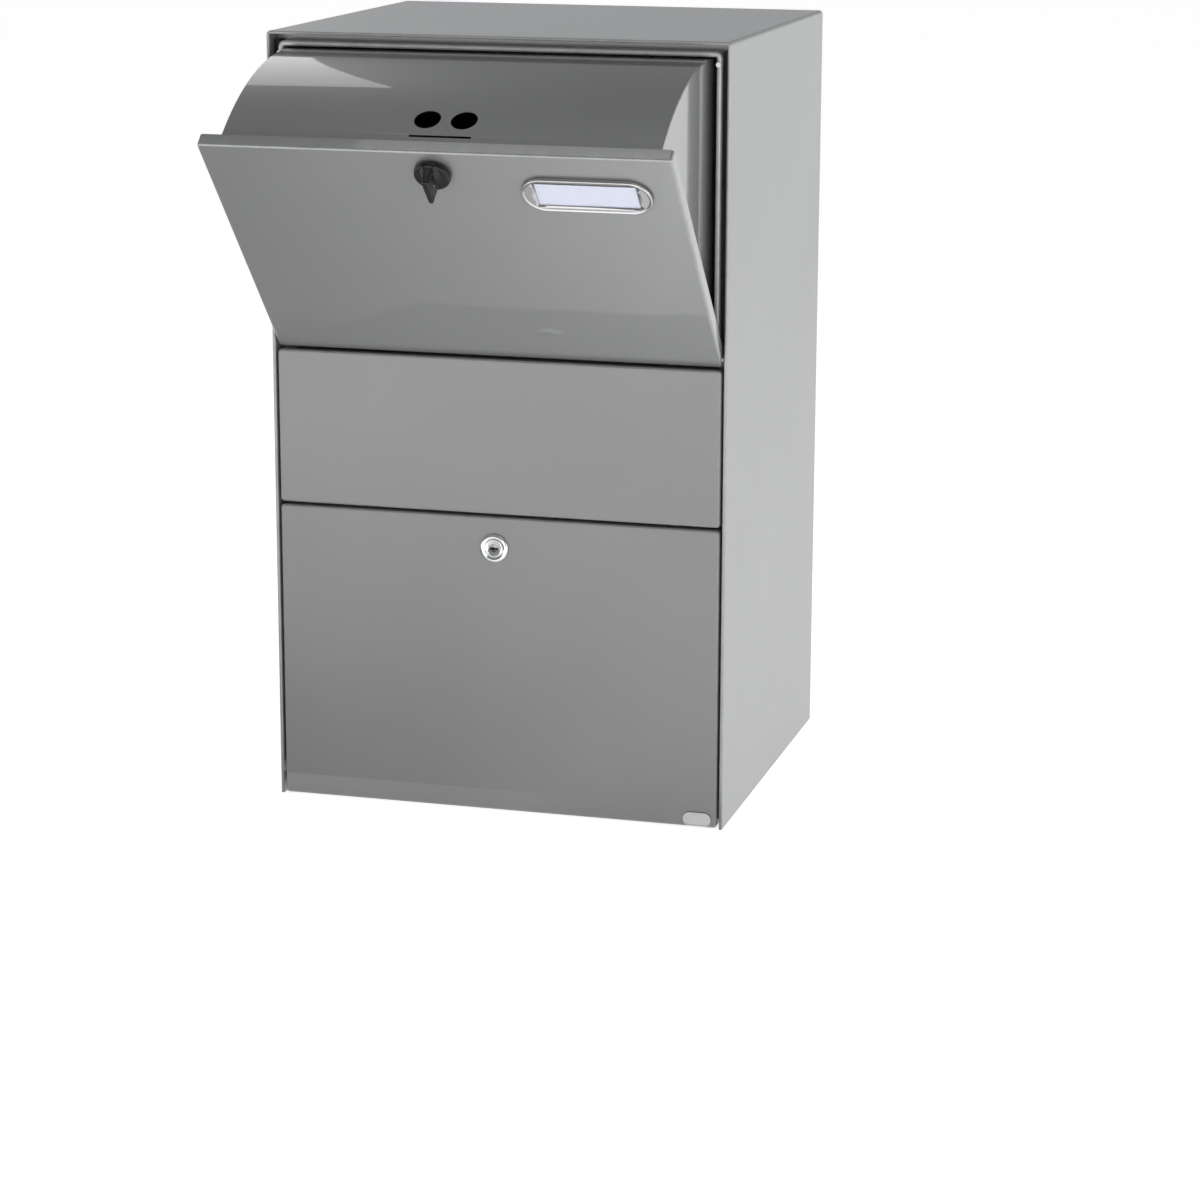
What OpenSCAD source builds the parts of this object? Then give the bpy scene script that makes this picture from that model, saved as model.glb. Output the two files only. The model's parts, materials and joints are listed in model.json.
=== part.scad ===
// Parcel drop mailbox with a tilt-out drum above, a fixed fascia and a drop-down emptying door below.
// X runs across the front, Y from the front to the back, Z up. The origin is the centre of the base.

/* [Housing] */
// Outside width
housing_w = 420; // [418:1:440]
// Outside depth
housing_d = 380; // [360:1:460]
// Outside height
housing_h = 700; // [690:1:720]
// Thickness of the housing sheet
sheet_t = 1.5; // [1.2:0.1:2]
// Thickness of the folded hem around the front edge
hem_t = 3; // [2.4:0.1:4]
// Depth of the folded hem
hem_d = 12; // [8:1:16]

/* [Front layout] */
// Width of the flap, fascia and door
panel_w = 410; // [406:1:412]
// Gap under the door
door_z = 1; // [0.5:0.5:2]
// Height of the emptying door
door_h = 273.5; // [260:0.5:280]
// Gap between the door and the fascia
fascia_gap = 2.5; // [2:0.5:4]
// Height of the fixed fascia
fascia_h = 140; // [120:1:145]
// Gap between the fascia and the flap
flap_gap = 4; // [4:0.5:6]
// Gap between the flap and the hem above it
top_gap = 1; // [0.5:0.5:3]
// Depth of the flap and door pans
pan_d = 12; // [11.5:0.5:16]
// Depth of the fascia pan
fascia_d = 12; // [10:0.5:13]
// Depth of the bottom lip of a hinged pan
lip_d = 9; // [6:0.5:10]

/* [Front frame] */
// Distance from the front edge to the frame plate
frame_y = 24.5; // [22:0.5:26]
// Width of each opening in the frame plate
opening_w = 392.4; // [386:0.2:393]
// Width of the raised rim around the openings
rim_w = 5; // [3:0.5:6]
// Distance from the front edge to the front of the rim
rim_y = 5; // [3.5:0.5:8]

/* [Drum] */
// How far the flap stands open
flap_tilt = 43; // [0:0.1:80]
// Distance of a hinge axis from the bottom and face of its pan
drum_axis_inset = 5.5; // [5.3:0.1:6.5]
// Gap between the hood and the rail above it
hood_clearance = 1.5; // [1:0.5:3]
// Width of the hood over its cheeks
hood_w = 382; // [340:1:388]
// Angle covered by the hood, measured back from the flap
hood_arc = 47; // [40:1:52]
// Thickness of the drum sheet
drum_t = 1.2; // [1:0.1:1.5]
// Angle between the flap and the baffle
baffle_angle = 125; // [115:1:130]
// Reach of the baffle from the hinge axis
baffle_reach = 250; // [220:1:252]
// Diameter of the finger holes in the hood
finger_hole_d = 23; // [18:0.5:24]
// Distance between the finger holes
finger_hole_pitch = 32; // [28:0.5:40]
// Angle of the finger holes behind the flap
finger_hole_angle = 9.5; // [9:0.1:12]

/* [Knob and bolt] */
// Sideways place of the knob and of the door lock
knob_x = -2; // [-10:0.5:10]
// Height of the knob above the bottom of the flap
knob_up = 250.5; // [244:0.5:251]
// Diameter of the knob skirt
knob_d = 32; // [28:1:38]
// Height of the knob above the flap
knob_h = 22; // [18:1:26]
// Throw radius of the cam pin
cam_throw = 7; // [6:0.5:7]
// Width of the latch bolt
bolt_w = 50; // [40:1:60]
// Thickness of the latch bolt
bolt_t = 2; // [1.5:0.1:2.2]

/* [Nameplate] */
// Length of the nameplate holder
plate_w = 112; // [90:1:120]
// Height of the nameplate holder
plate_h = 40; // [30:1:44]
// Sideways place of the nameplate
plate_x = 126; // [110:1:130]
// Height of the nameplate above the bottom of the flap
plate_up = 229; // [200:1:240]
// Length of the name card window
card_w = 87; // [60:1:90]
// Height of the name card window
card_h = 27; // [18:1:28]

/* [Door lock] */
// Height of the lock above the bottom of the door
lock_up = 245; // [235:0.5:248]
// Diameter of the lock flange
lock_d = 26.6; // [24:0.2:30]
// Diameter of the lock plug
plug_d = 16.8; // [14:0.2:18]
// Distance of the door hinge axis from the bottom and face of the door
door_axis_inset = 6.5; // [6:0.1:7]

/* [Wall fixing] */
// Diameter of the holes in the back
wall_hole_d = 8.5; // [6:0.5:10]
// Distance between the wall holes across the back
wall_hole_pitch_x = 280; // [200:10:320]
// Distance between the wall holes up the back
wall_hole_pitch_z = 480; // [400:10:560]

/* [Hidden] */
$fn = 64;
eps = 1;
weld_gap = 0.1;
inner_w = housing_w - 2 * sheet_t - 2 * weld_gap;
fascia_z = door_z + door_h + fascia_gap;
flap_z = fascia_z + fascia_h + flap_gap;
flap_h = housing_h - hem_t - top_gap - flap_z;
frame_back = frame_y + sheet_t;
rail_drop = 9.5;
rail_z = flap_z + flap_h - rail_drop;
fascia_overlap = 22;
drum_open_z = fascia_z + fascia_h - fascia_overlap;
rim_foot_rise = 19;
rim_foot_z = flap_z + rim_foot_rise;
door_foot_cover = 29;
door_head_cover = 11.5;
door_open_z = door_z + door_foot_cover;
door_open_top = door_z + door_h - door_head_cover;
door_open_h = door_open_top - door_open_z;
drum_axis_y = drum_axis_inset;
drum_axis_z = flap_z + drum_axis_inset;
hood_r = rail_z - hood_clearance - drum_axis_z;
cheek_clearance = 0.2;
cheek_r = hood_r - drum_t - cheek_clearance;
guard_gap = 2.5;
guard_start = 10;
guard_end = 52;
door_axis_y = door_axis_inset;
door_axis_z = door_z + door_axis_inset;
bracket_gap = 3;
bracket_x = panel_w / 2 - bracket_gap;
bracket_t = 5;
bracket_nose_d = 7;
notch_w = 10;
hinge_pin_d = 5;
hinge_bore_d = 5.12;
washer_d = 7.6;
washer_gap = 0.3;
stud_d = 6;
nut_t = 5;
nut_gap = 0.05;
hex = 6;
fine = 180;
knob_z = flap_z + knob_up;
shaft_d = 8;
shaft_bore_d = 8.12;
bush_d = 14;
cam_y = 20;
cam_t = 4;
cam_d = 20;
cam_pin_d = 5;
cam_rest = 45;
socket_y = -15;
bolt_gap = 0.5;
bolt_y = frame_back + bolt_gap;
bolt_slot_w = bolt_w + 4;
bolt_slot_play = 0.4;
bolt_drop = 5;
bolt_top_z = rail_z - bolt_drop;
bolt_h = 27;
lock_z = door_z + lock_up;
barrel_d = 22;
plug_out = 1.6;
plug_back = frame_back + plug_out;
lock_cam_t = 2.4;
silver = [0.62, 0.62, 0.61];
dark_silver = [0.5, 0.5, 0.49];
rubber = [0.06, 0.06, 0.06];

// ---- placing ----

// Moves a shape drawn from the front edge at y = 0 into the frame of the whole box.
module at_front() translate([0, -housing_d / 2, 0]) children();

// Turns the closed drum about its hinge to where it stands open.
module on_drum() {
    at_front()
        translate([0, drum_axis_y, drum_axis_z])
            rotate([flap_tilt, 0, 0])
                translate([0, -drum_axis_y, -drum_axis_z])
                    children();
}

module mirrored() {
    children();
    mirror([1, 0, 0]) children();
}

// Cylinder from y0 to y1 along Y.
module rod_y(d, y0, y1) translate([0, y0, 0]) rotate([-90, 0, 0]) cylinder(d = d, h = y1 - y0);

// Cylinder from x0 to x1 along X.
module rod_x(d, x0, x1) translate([x0, 0, 0]) rotate([0, 90, 0]) cylinder(d = d, h = x1 - x0);

// Box centred across x, from the front face y0 and foot z0.
module slab(w, y0, d, z0, h) translate([-w / 2, y0, z0]) cube([w, d, h]);

// Plain outline turned to face the front, from y0 back by d.
module face_plate(y0, d) translate([0, y0 + d, 0]) rotate([90, 0, 0]) linear_extrude(d) children();

// ---- sheet metal shapes ----

// Folded pan, open at the back. A hinged pan has a short bottom lip with notches for its brackets.
module pan(z0, h, d, lip, notched) {
    difference() {
        slab(panel_w, 0, d, z0, h);
        slab(panel_w - 2 * sheet_t, sheet_t, d, z0 + sheet_t, h - 2 * sheet_t);
        slab(panel_w - 2 * sheet_t, lip, d, z0 - eps, sheet_t + 2 * eps);
        if (notched)
            mirrored()
                translate([panel_w / 2 - sheet_t - notch_w, sheet_t, z0 - eps])
                    cube([notch_w, d, sheet_t + 2 * eps]);
    }
}

// Curved sheet about the drum axis, from angle a0 to a1 behind the vertical.
module arc_sheet(r, t, w, a0, a1) {
    reach = 2 * r;
    am = (a0 + a1) / 2;
    intersection() {
        difference() {
            rod_x(2 * r, -w / 2, w / 2, $fn = fine);
            rod_x(2 * (r - t), -w / 2 - eps, w / 2 + eps, $fn = fine);
        }
        translate([-w / 2 - eps, 0, 0])
            rotate([90, 0, 90])
                linear_extrude(w + 2 * eps)
                    polygon([
                        [0, 0],
                        [reach * sin(a0), reach * cos(a0)],
                        [reach * sin(am), reach * cos(am)],
                        [reach * sin(a1), reach * cos(a1)]
                    ]);
    }
}

// Bracket standing forward from the frame plate, with a round nose at the hinge axis.
module hinge_bracket(axis_y, axis_z) {
    foot_h = 2 * bracket_nose_d;
    foot_t = 2;
    press = 0.04;
    mirrored()
        difference() {
            union() {
                translate([0, axis_y, axis_z]) rod_x(bracket_nose_d, bracket_x - bracket_t, bracket_x);
                translate([bracket_x - bracket_t, axis_y, axis_z - bracket_nose_d / 2])
                    cube([bracket_t, frame_y - axis_y, bracket_nose_d]);
                translate([bracket_x - bracket_t, frame_y - foot_t, axis_z - bracket_nose_d / 2])
                    cube([bracket_t, foot_t, foot_h]);
            }
            translate([0, axis_y, axis_z])
                rod_x(hinge_pin_d + press, bracket_x - bracket_t - eps, bracket_x + eps);
        }
}

// Headed pin from inside the bracket out through the side of the pan.
module hinge_pin(axis_y, axis_z) {
    head_d = 7.6;
    head_t = 2;
    pin_out = 0.8;
    head_x = bracket_x - bracket_t - weld_gap;
    mirrored()
        translate([0, axis_y, axis_z]) {
            rod_x(hinge_pin_d, head_x, panel_w / 2 + pin_out);
            rod_x(head_d, head_x - head_t, head_x);
        }
}

// Thin washer between a bracket and the side of its pan.
module hinge_washer(axis_y, axis_z) {
    side_gap = 0.05;
    bore_play = 0.4;
    mirrored()
        translate([0, axis_y, axis_z])
            difference() {
                rod_x(washer_d, bracket_x + washer_gap, panel_w / 2 - sheet_t - side_gap);
                rod_x(hinge_pin_d + bore_play, bracket_x - eps, panel_w / 2);
            }
}

// Bore through both sides of a pan for its hinge pins.
module hinge_bores(axis_y, axis_z) {
    translate([0, axis_y, axis_z]) rod_x(hinge_bore_d, -panel_w / 2 - eps, panel_w / 2 + eps);
}

// ---- housing ----

module housing_shell() {
    color(silver)
        at_front()
            union() {
                difference() {
                    slab(housing_w, 0, housing_d, 0, housing_h);
                    slab(housing_w - 2 * sheet_t, -eps, housing_d + 2 * eps, -eps, housing_h - sheet_t + eps);
                }
                difference() {
                    slab(housing_w, 0, hem_d, 0, housing_h);
                    slab(housing_w - 2 * hem_t, -eps, hem_d + 2 * eps, -eps, housing_h - hem_t + eps);
                }
            }
}

module wall_holes() {
    for (x = [-1, 1], z = [-1, 1])
        translate([x * wall_hole_pitch_x / 2, 0, housing_h / 2 + z * wall_hole_pitch_z / 2])
            rod_y(wall_hole_d, housing_d - 2 * sheet_t, housing_d + eps);
}

module back_panel() {
    color(silver)
        at_front()
            difference() {
                slab(inner_w, housing_d - sheet_t, sheet_t, 0, housing_h - sheet_t - weld_gap);
                wall_holes();
            }
}

module floor_panel() {
    drain_d = 8;
    color(silver)
        at_front()
            difference() {
                slab(inner_w, frame_back, housing_d - sheet_t - frame_back - weld_gap, 0, sheet_t);
                for (x = [-1, 1], y = [0.25, 0.75])
                    translate([x * inner_w / 3, frame_back + y * (housing_d - frame_back), -eps])
                        cylinder(d = drain_d, h = sheet_t + 2 * eps);
            }
}

// Plate with the two openings, folded back along both sides.
module front_frame() {
    fold_d = 20;
    stud_play = 0.4;
    color(silver)
        at_front() {
            difference() {
                slab(inner_w, frame_y, sheet_t, 0, housing_h - sheet_t - weld_gap);
                slab(opening_w, 0, housing_d, drum_open_z, rail_z - drum_open_z);
                slab(opening_w, 0, housing_d, door_open_z, door_open_h);
                fascia_places() rod_y(stud_d + stud_play, frame_y - eps, frame_back + eps);
            }
            mirrored()
                translate([inner_w / 2 - sheet_t, frame_back, sheet_t + weld_gap])
                    cube([sheet_t, fold_d, housing_h - 4 * sheet_t]);
        }
}

module drum_rim() {
    color(silver)
        at_front()
            difference() {
                slab(opening_w + 2 * rim_w, rim_y, frame_y - rim_y, rim_foot_z, rail_z + rim_w - rim_foot_z);
                slab(opening_w, 0, frame_y + eps, rim_foot_z - eps, rail_z - rim_foot_z + eps);
            }
}

module door_rim() {
    outer_w = opening_w + 2 * rim_w;
    color(silver)
        at_front()
            difference() {
                slab(outer_w, rim_y, frame_y - rim_y, door_open_z - rim_w, door_open_h + 2 * rim_w);
                slab(opening_w, 0, frame_y + eps, door_open_z, door_open_h);
            }
}

// Rubber strips on the frame plate, behind the edges of a closed pan.
module seal_strips(z0, h) {
    seal_w = 5;
    side_gap = 0.3;
    front_gap = 0.5;
    mirrored()
        translate([opening_w / 2 + rim_w + side_gap, pan_d + front_gap, z0])
            cube([seal_w, frame_y - pan_d - front_gap, h]);
}

module drum_seals() color(rubber) at_front() seal_strips(rim_foot_z, rail_z - rim_foot_z + rim_w);

module door_seals() color(rubber) at_front() seal_strips(door_open_z - rim_w, door_open_h + 2 * rim_w);

// Nylon buttons that the closed flap and door rest against.
module rim_bumpers() {
    bumper_d = 4.4;
    bumper_drop = 6;
    panel_gap = 0.5;
    color("white")
        at_front()
            for (x = [-1, 1], z = [rail_z, door_open_top])
                translate([x * (opening_w + rim_w) / 2, 0, z - bumper_drop])
                    rod_y(bumper_d, sheet_t + panel_gap, rim_y);
}

// The four stud places, as shares of the fascia's width and height.
module fascia_places() {
    for (x = [-0.36, 0.36], z = [0.2, 0.75])
        translate([x * panel_w, 0, fascia_z + z * fascia_h])
            children();
}

module middle_fascia() color(silver) at_front() pan(fascia_z, fascia_h, fascia_d, fascia_d, false);

module fascia_studs() {
    collar_d = 12;
    thread = 8;
    color(dark_silver)
        at_front()
            fascia_places() {
                rod_y(collar_d, sheet_t, frame_y);
                rod_y(stud_d, frame_y, frame_back + thread);
            }
}

module fascia_nuts() {
    across = 11.5;
    thread_play = 0.1;
    color("silver")
        at_front()
            fascia_places()
                difference() {
                    rod_y(across, frame_back + weld_gap, frame_back + nut_t, $fn = hex);
                    rod_y(stud_d + thread_play, frame_back - eps, frame_back + nut_t + eps);
                }
}

// Fixed curved plate behind the hood. It shuts off the space above the raised baffle.
module quadrant_guard() {
    color(dark_silver)
        at_front()
            translate([0, drum_axis_y, drum_axis_z])
                arc_sheet(hood_r + guard_gap + drum_t, drum_t, inner_w, guard_start, guard_end);
}

module drum_hinge_brackets() color(dark_silver) at_front() hinge_bracket(drum_axis_y, drum_axis_z);

module drum_hinge_pins() color("silver") at_front() hinge_pin(drum_axis_y, drum_axis_z);

module door_hinge_brackets() color(dark_silver) at_front() hinge_bracket(door_axis_y, door_axis_z);

module door_hinge_pins() color("silver") at_front() hinge_pin(door_axis_y, door_axis_z);

// Dome of a blind rivet, standing out along Z. Its sizes are shares of the rivet's diameter.
module rivet_head(d) {
    sink = 0.45 * d;
    ball_d = 1.35 * d;
    edge_d = 1.2 * d;
    intersection() {
        translate([0, 0, -sink]) sphere(d = ball_d, $fn = 32);
        cylinder(d = edge_d, h = d);
    }
}

module frame_rivets() {
    rivet_d = 5;
    inset = 10;
    color("silver")
        at_front()
            mirrored()
                for (z = [0.1, 0.3, 0.5, 0.7, 0.9])
                    translate([inner_w / 2 - sheet_t, frame_back + inset, z * housing_h])
                        rotate([0, -90, 0])
                            rivet_head(rivet_d);
}

module back_rivets() {
    rivet_d = 5;
    inset = 12;
    color("silver")
        at_front()
            for (x = [-1, 1], z = [0.06, 0.35, 0.65, 0.94])
                translate([x * (inner_w / 2 - inset), housing_d - sheet_t, z * housing_h])
                    rotate([90, 0, 0])
                        rivet_head(rivet_d);
}

// Wear plate behind the frame that the lock cam slides onto.
module door_keeper() {
    keeper_w = 44;
    keeper_t = 1.2;
    keeper_h = 22;
    color("silver")
        at_front()
            translate([knob_x, 0, 0])
                slab(keeper_w, frame_back, keeper_t, door_open_top, keeper_h);
}

// ---- drum ----

// Hole in the flap for the knob bush.
module bush_hole() translate([knob_x, 0, knob_z]) rod_y(bush_d, -eps, 2 * sheet_t);

module flap_pan() {
    color(silver)
        on_drum()
            difference() {
                pan(flap_z, flap_h, pan_d, lip_d, true);
                hinge_bores(drum_axis_y, drum_axis_z);
                bush_hole();
            }
}

module finger_holes() {
    reach = 10;
    translate([0, drum_axis_y, drum_axis_z])
        for (x = [-1, 1])
            rotate([-finger_hole_angle, 0, 0])
                translate([x * finger_hole_pitch / 2, 0, hood_r - reach])
                    cylinder(d = finger_hole_d, h = 2 * reach);
}

module hood() {
    front_angle = -asin((drum_axis_y - sheet_t - weld_gap) / hood_r);
    reach = 20;
    color(silver)
        on_drum()
            difference() {
                translate([0, drum_axis_y, drum_axis_z])
                    arc_sheet(hood_r, drum_t, hood_w, front_angle, hood_arc);
                finger_holes();
                slab(
                    bolt_slot_w, bolt_y - bolt_slot_play, bolt_t + 2 * bolt_slot_play,
                    bolt_top_z - reach, 2 * reach
                );
            }
}

// Side of the drum: a round top edge under the hood and a straight edge to the tip of the baffle.
module cheek() {
    front = sheet_t + weld_gap - drum_axis_y;
    foot = -2;
    over = cheek_r + 5;
    shoulder = 30;
    wide = 1.2 * cheek_r;
    heel = 5;
    color(silver)
        on_drum()
            translate([hood_w / 2 - drum_t, drum_axis_y, drum_axis_z])
                intersection() {
                    rod_x(2 * cheek_r, 0, drum_t, $fn = fine);
                    rotate([90, 0, 90])
                        linear_extrude(drum_t)
                            polygon([
                                [front, foot],
                                [front, over],
                                [wide * sin(shoulder), wide * cos(shoulder)],
                                [cheek_r * sin(hood_arc), cheek_r * cos(hood_arc)],
                                [baffle_reach * sin(baffle_angle), baffle_reach * cos(baffle_angle)],
                                [heel * sin(baffle_angle), heel * cos(baffle_angle)]
                            ]);
                }
}

module cheek_right() cheek();

module cheek_left() mirror([1, 0, 0]) cheek();

// Back plate of the drum, folded up along its free edge.
module baffle() {
    baffle_w = hood_w - 2 * drum_t - 2 * weld_gap;
    start = 8;
    end = baffle_reach - 4;
    lip = 8;
    front = -drum_t - weld_gap;
    color(dark_silver)
        on_drum()
            translate([0, drum_axis_y, drum_axis_z])
                rotate([-baffle_angle, 0, 0]) {
                    slab(baffle_w, front, drum_t, start, end - start);
                    slab(baffle_w, front - lip, lip, end - drum_t, drum_t);
                }
}

// Rivets that hold the baffle's side tabs to the cheeks, heads outside.
module cheek_rivets() {
    rivet_d = 4;
    above = 6;
    color("silver")
        on_drum()
            translate([0, drum_axis_y, drum_axis_z])
                rotate([-baffle_angle, 0, 0])
                    mirrored()
                        for (r = [0.25, 0.55, 0.85])
                            translate([hood_w / 2, -above, r * baffle_reach])
                                rotate([0, 90, 0])
                                    rivet_head(rivet_d);
}

module drum_washers() color("white") on_drum() hinge_washer(drum_axis_y, drum_axis_z);

module plate_outline(w, h) {
    square([w - h, h], center = true);
    for (x = [-1, 1]) translate([x * (w - h) / 2, 0]) circle(d = h);
}

module on_plate() on_drum() translate([plate_x, 0, flap_z + plate_up]) children();

// Raised holder with round ends and a window for the card.
// Flat box about the middle of the nameplate, standing in the window and larger by the margin all round.
module in_window(front, t, margin) {
    slab(card_w + 2 * margin, front, t, -card_h / 2 - margin, card_h + 2 * margin);
}

module nameplate_holder() {
    holder_t = 4;
    pocket_t = 1.2;
    pocket_margin = 2;
    color([0.8, 0.81, 0.82])
        on_plate()
            difference() {
                face_plate(-holder_t, holder_t) plate_outline(plate_w, plate_h);
                in_window(-holder_t - eps, holder_t + 2 * eps, 0);
                in_window(-pocket_t, pocket_t + eps, pocket_margin);
            }
}

module name_card() {
    front = -0.6;
    card_t = 0.5;
    margin = 1.5;
    color([0.9, 0.9, 0.97]) on_plate() in_window(front, card_t, margin);
}

module card_window() {
    front = -2;
    window_t = 1;
    play = 0.2;
    color([0.9, 0.95, 1, 0.3]) on_plate() in_window(front, window_t, -play);
}

// Flanged bush for the knob shaft.
module knob_bush() {
    flange_d = 20;
    flange_t = 1.2;
    seat = 0.02;
    fit = 0.1;
    bush_back = 8;
    color([0.1, 0.1, 0.1])
        on_drum()
            translate([knob_x, 0, knob_z])
                difference() {
                    union() {
                        rod_y(flange_d, -flange_t, -seat);
                        rod_y(bush_d - fit, -2 * seat, bush_back);
                    }
                    rod_y(shaft_bore_d, -flange_t - eps, bush_back + eps);
                }
}

module bush_nut() {
    across = 21;
    nut_back = 6;
    color("silver")
        on_drum()
            translate([knob_x, 0, knob_z])
                difference() {
                    rod_y(across, sheet_t + nut_gap, nut_back, $fn = hex);
                    rod_y(bush_d, 0, nut_back + eps);
                }
}

// Hat-shaped bracket that carries the bolt behind the flap.
module bolt_guide() {
    clear = 0.4;
    wall = 1.6;
    foot = 10;
    back_gap = 0.7;
    drop = 29;
    h = 26;
    z0 = bolt_top_z - drop;
    inner = bolt_w / 2 + clear;
    back_y = bolt_y + bolt_t + back_gap;
    color(dark_silver)
        on_drum() {
            slab(2 * (inner + wall), back_y, wall, z0, h);
            mirrored() {
                translate([inner, sheet_t + weld_gap, z0]) cube([wall, back_y - sheet_t - weld_gap, h]);
                translate([inner, sheet_t + weld_gap, z0]) cube([foot, wall, h]);
            }
        }
}

// ---- knob ----

module on_knob() on_drum() translate([knob_x, 0, knob_z]) children();

// Round skirt with a tapered grip standing on it. The narrow end of the grip points down.
module knob() {
    skirt_y = -2;
    front_y = -7;
    front_d = knob_d - 2;
    grip_foot = 6.5;
    grip_w = 7;
    tip_w = 5;
    grip_up = 13;
    grip_down = 15;
    color([0.12, 0.12, 0.13])
        on_knob()
            difference() {
                union() {
                    translate([0, front_y, 0])
                        rotate([-90, 0, 0])
                            cylinder(d1 = front_d, d2 = knob_d, h = skirt_y - front_y);
                    face_plate(-knob_h, knob_h - grip_foot)
                        polygon([
                            [-grip_w / 2, grip_up],
                            [grip_w / 2, grip_up],
                            [tip_w / 2, -grip_down],
                            [-tip_w / 2, -grip_down]
                        ]);
                }
                rod_y(shaft_d, socket_y, 0);
            }
}

module knob_shaft() color("silver") on_knob() rod_y(shaft_d, socket_y, cam_y);

// Disc with an eccentric pin that lifts the bolt. At rest the pin stands below the level of the shaft.
module knob_cam() {
    root = 0.5;
    pin_out = 0.3;
    color("silver")
        on_knob() {
            rod_y(cam_d, cam_y, cam_y + cam_t);
            rotate([0, cam_rest, 0])
                translate([cam_throw, 0, 0])
                    rod_y(cam_pin_d, cam_y + cam_t - root, bolt_y + bolt_t + pin_out);
        }
}

module cam_screw() {
    head_d = 5.5;
    head_t = 1.8;
    color("gray") on_knob() rod_y(head_d, cam_y + cam_t, cam_y + cam_t + head_t);
}

// Flat bolt with a cross slot for the cam pin.
module latch_bolt() {
    slot_play = 0.8;
    slot_h = cam_pin_d + slot_play;
    slot_w = cam_pin_d + 7;
    slot_shift = 0.85;
    pin_drop = cam_throw * sin(cam_rest);
    color("silver")
        on_drum()
            difference() {
                slab(bolt_w, bolt_y, bolt_t, bolt_top_z - bolt_h, bolt_h);
                translate([knob_x + cam_throw * slot_shift, 0, 0])
                    slab(slot_w, bolt_y - eps, bolt_t + 2 * eps, knob_z - pin_drop - slot_h / 2, slot_h);
            }
}

// ---- emptying door ----

module door_pan() {
    barrel_play = 0.3;
    color(silver)
        at_front()
            difference() {
                pan(door_z, door_h, pan_d, lip_d, true);
                hinge_bores(door_axis_y, door_axis_z);
                translate([knob_x, 0, lock_z]) rod_y(barrel_d + barrel_play, -eps, 2 * sheet_t);
            }
}

// Hat section across the inside of the door.
module door_stiffener() {
    section_w = 40;
    section_d = 8;
    foot = 12;
    length = opening_w - 40;
    front = sheet_t + weld_gap;
    level = 0.45 * door_h;
    color(dark_silver)
        at_front()
            translate([0, 0, door_z + level]) {
                slab(length, section_d, sheet_t, 0, section_w);
                for (z = [0, section_w - sheet_t]) slab(length, front, section_d - sheet_t, z, sheet_t);
                for (z = [-foot, section_w]) slab(length, front, sheet_t, z, foot);
            }
}

module door_washers() color("white") at_front() hinge_washer(door_axis_y, door_axis_z);

module on_lock() at_front() translate([knob_x, 0, lock_z]) children();

module lock_body() {
    flange_t = 3.2;
    seat = 0.05;
    barrel_back = 20;
    plug_play = 0.16;
    color("silver")
        on_lock()
            difference() {
                union() {
                    rod_y(lock_d, -flange_t, -seat);
                    rod_y(barrel_d, -flange_t + eps, barrel_back);
                }
                rod_y(plug_d + plug_play, -flange_t - eps, barrel_back + eps);
            }
}

module lock_nut() {
    across = 27;
    nut_back = 6;
    thread_play = 0.1;
    color("gray")
        on_lock()
            difference() {
                rod_y(across, sheet_t + nut_gap, nut_back, $fn = hex);
                rod_y(barrel_d + thread_play, 0, nut_back + eps);
            }
}

// Blank oval plate in the corner of the door.
module blank_badge() {
    badge_w = 26;
    badge_h = 13;
    badge_t = 1;
    glue = 0.02;
    corner = 18;
    rise = 7.4;
    color("silver")
        at_front()
            translate([panel_w / 2 - corner, 0, door_z + rise])
                face_plate(-badge_t - glue, badge_t) plate_outline(badge_w, badge_h);
}

module lock_plug() {
    plug_front = -2.6;
    key_w = 8.5;
    key_h = 2;
    key_back = 8;
    color("silver")
        on_lock()
            difference() {
                rod_y(plug_d, plug_front, plug_back);
                slab(key_w, plug_front - eps, key_back - plug_front + eps, -key_h / 2, key_h);
            }
}

// Flat cam that lies level when unlocked and turns up behind the frame.
module lock_cam() {
    cam_w = 14;
    cam_reach = 27;
    boss_d = 20;
    color("silver")
        on_lock()
            translate([0, plug_back, 0])
                intersection() {
                    union() {
                        rod_y(boss_d, 0, lock_cam_t);
                        translate([-cam_reach, 0, -cam_w / 2]) cube([cam_reach, lock_cam_t, cam_w]);
                    }
                    translate([-cam_reach, 0, -cam_w / 2]) cube([cam_reach + cam_w, lock_cam_t, cam_w]);
                }
}

module lock_cam_screw() {
    head_d = 9;
    head_t = 3;
    head_y = plug_back + lock_cam_t;
    color("gray") on_lock() rod_y(head_d, head_y, head_y + head_t);
}

housing_shell();
back_panel();
floor_panel();
front_frame();
drum_rim();
door_rim();
drum_seals();
door_seals();
rim_bumpers();
middle_fascia();
fascia_studs();
fascia_nuts();
quadrant_guard();
drum_hinge_brackets();
drum_hinge_pins();
door_hinge_brackets();
door_hinge_pins();
frame_rivets();
back_rivets();
door_keeper();
flap_pan();
hood();
cheek_left();
cheek_right();
baffle();
cheek_rivets();
drum_washers();
nameplate_holder();
name_card();
card_window();
knob_bush();
bush_nut();
bolt_guide();
knob();
knob_shaft();
knob_cam();
cam_screw();
latch_bolt();
door_pan();
door_stiffener();
door_washers();
lock_body();
lock_nut();
blank_badge();
lock_plug();
lock_cam();
lock_cam_screw();
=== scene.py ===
"""Looks of a parcel drop mailbox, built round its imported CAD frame. Metres, Z up, the front faces -Y."""

import json
import math

import bmesh
import bpy
from mathutils import Matrix, Vector


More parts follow.
